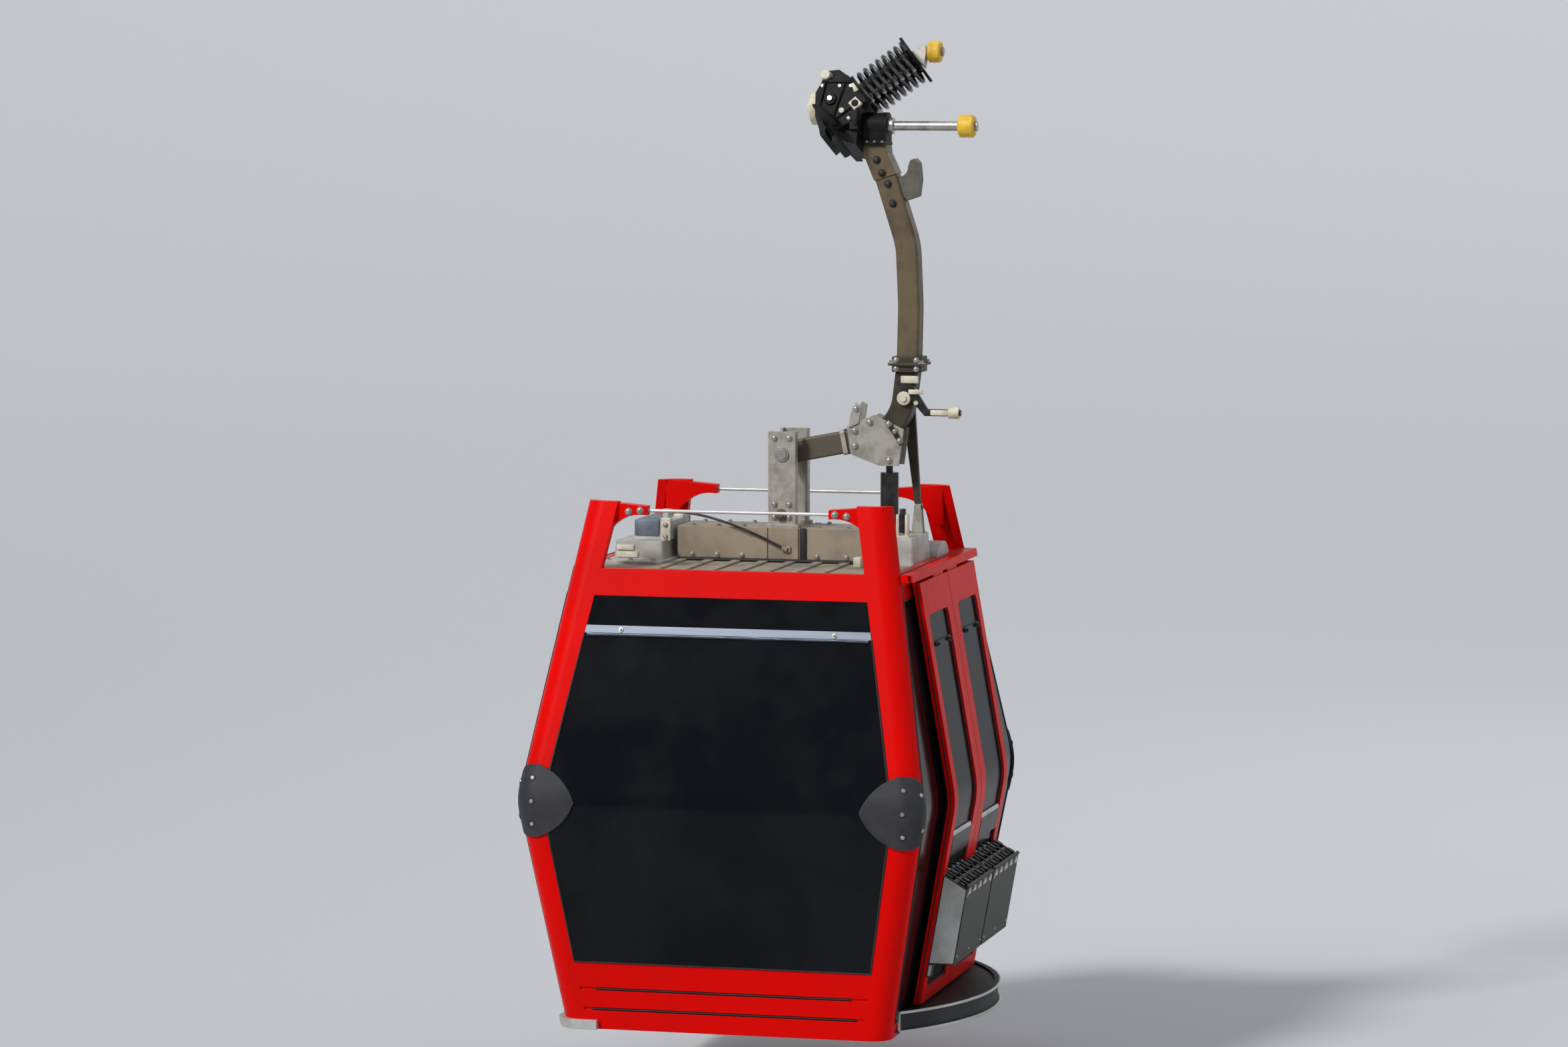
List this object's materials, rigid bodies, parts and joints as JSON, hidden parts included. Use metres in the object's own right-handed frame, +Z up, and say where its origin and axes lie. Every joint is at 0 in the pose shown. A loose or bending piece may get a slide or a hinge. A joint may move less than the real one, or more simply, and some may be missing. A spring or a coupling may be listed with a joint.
{
  "type": "cable car cabin",
  "caption": "Closed cable car cabin on a bent hanger with a spring grip that clamps a moving rope; two sliding door leaves, ski racks and a bow-shaped step.",
  "frame": {"origin": "centre of the rope in the grip's jaws", "axes": "+Z up, +X to the door side, +Y along the rope as seen from above, towards its lower end"},
  "size_m": [2.0194, 2.0562, 4.512],
  "materials": {
    "grip_black": "black paint on castings, oily sheen",
    "spring_black": "black coated spring steel",
    "roller_yellow": "moulded yellow polyurethane",
    "wheel_cream": "moulded cream polyamide",
    "shaft_steel": "turned steel",
    "galvanised": "weathered hot-dip galvanising",
    "galvanised_light": "newer galvanising",
    "red_paint": "gloss red powder coat on aluminium",
    "dark_glass": "dark tinted glazing",
    "guard_plastic": "grained charcoal plastic",
    "roof_metal": "dusty aluminium sheet",
    "rail_grey": "anodised aluminium",
    "rack_olive": "dull olive-grey panel",
    "seat_dark": "dark moulded seat",
    "floor_grey": "aluminium floor pan",
    "step_black": "black rubber-faced rail",
    "damper_black": "black damper tube",
    "cable_black": "black sheathed cable"
  },
  "bodies": {
    "grip": {"grip_body": "grip_black", "grip_jaw": "grip_black", "rope_tongues": "grip_black", "grip_springs": "spring_black", "spring_guides": "grip_black", "guide_shaft": "shaft_steel", "wheel_axle": "shaft_steel", "lever_head": "grip_black"},
    "guide_wheel": {"guide_roller": "roller_yellow"},
    "track_wheel": {"running_wheel": "wheel_cream"},
    "spring_wheel": {"lever_roller": "roller_yellow"},
    "control_wheel": {"lever_wheel": "wheel_cream"},
    "door_leaf_near": {"door_near": "red_paint", "door_panes_near": "dark_glass", "ski_rack_near": "rack_olive"},
    "door_leaf_far": {"door_far": "red_paint", "door_panes_far": "dark_glass", "ski_rack_far": "rack_olive"},
    "carriage": {"hanger_head": "galvanised", "hanger_arm": "galvanised", "hanger_collar": "galvanised_light", "hanger_elbow": "galvanised", "elbow_plates": "galvanised_light", "guide_fork": "galvanised", "suspension_pin": "shaft_steel", "column_plates": "galvanised_light", "damper": "damper_black", "door_lever": "galvanised_light", "door_strut": "galvanised", "door_gear": "galvanised_light", "roof_beam": "roof_metal", "beam_housings": "rail_grey", "roof_panel": "roof_metal", "horn_ties": "rail_grey", "post_near_blind": "red_paint", "post_near_door": "red_paint", "post_far_blind": "red_paint", "post_far_door": "red_paint", "sill_near": "red_paint", "sill_far": "red_paint", "header_near": "red_paint", "header_far": "red_paint", "header_blind": "red_paint", "header_door": "red_paint", "sill_blind": "red_paint", "sill_door": "red_paint", "window_near": "dark_glass", "window_far": "dark_glass", "window_blind": "dark_glass", "quarter_windows": "dark_glass", "vent_rails": "rail_grey", "corner_guards": "guard_plastic", "floor": "floor_grey", "bench_near": "seat_dark", "bench_far": "seat_dark", "door_rail": "red_paint", "door_step": "step_black", "blind_rail": "rail_grey", "bearing_housing": "grip_black", "roof_cable": "cable_black"}
  },
  "joints": [
    {"name": "hanger_swing", "type": "hinge", "parent": "grip", "child": "carriage", "pos_m": [0.19, 0, 0.065], "axis": [1, 0, 0], "range_deg": [-40, 40]},
    {"name": "door_near_slide", "type": "slide", "parent": "carriage", "child": "door_leaf_near", "axis": [0, -1, 0], "range_m": [0, 0.42]},
    {"name": "door_far_slide", "type": "slide", "parent": "carriage", "child": "door_leaf_far", "axis": [0, 1, 0], "range_m": [0, 0.42]},
    {"name": "guide_wheel_turn", "type": "hinge", "parent": "grip", "child": "guide_wheel", "pos_m": [0.6125, 0, 0.065], "axis": [1, 0, 0], "continuous": true},
    {"name": "track_wheel_turn", "type": "hinge", "parent": "grip", "child": "track_wheel", "pos_m": [-0.112, 0.04635, 0.14266], "axis": [1, 0, 0], "continuous": true},
    {"name": "spring_wheel_turn", "type": "hinge", "parent": "grip", "child": "spring_wheel", "pos_m": [0.431, 0.13133, 0.4042], "axis": [1, 0, 0], "continuous": true},
    {"name": "control_wheel_turn", "type": "hinge", "parent": "carriage", "child": "control_wheel", "pos_m": [0.569, -0.058, -1.25], "axis": [1, 0, 0], "continuous": true}
  ],
  "couplings": [
    {"joint": "door_far_slide", "follows": "door_near_slide", "ratio": 1}
  ]
}
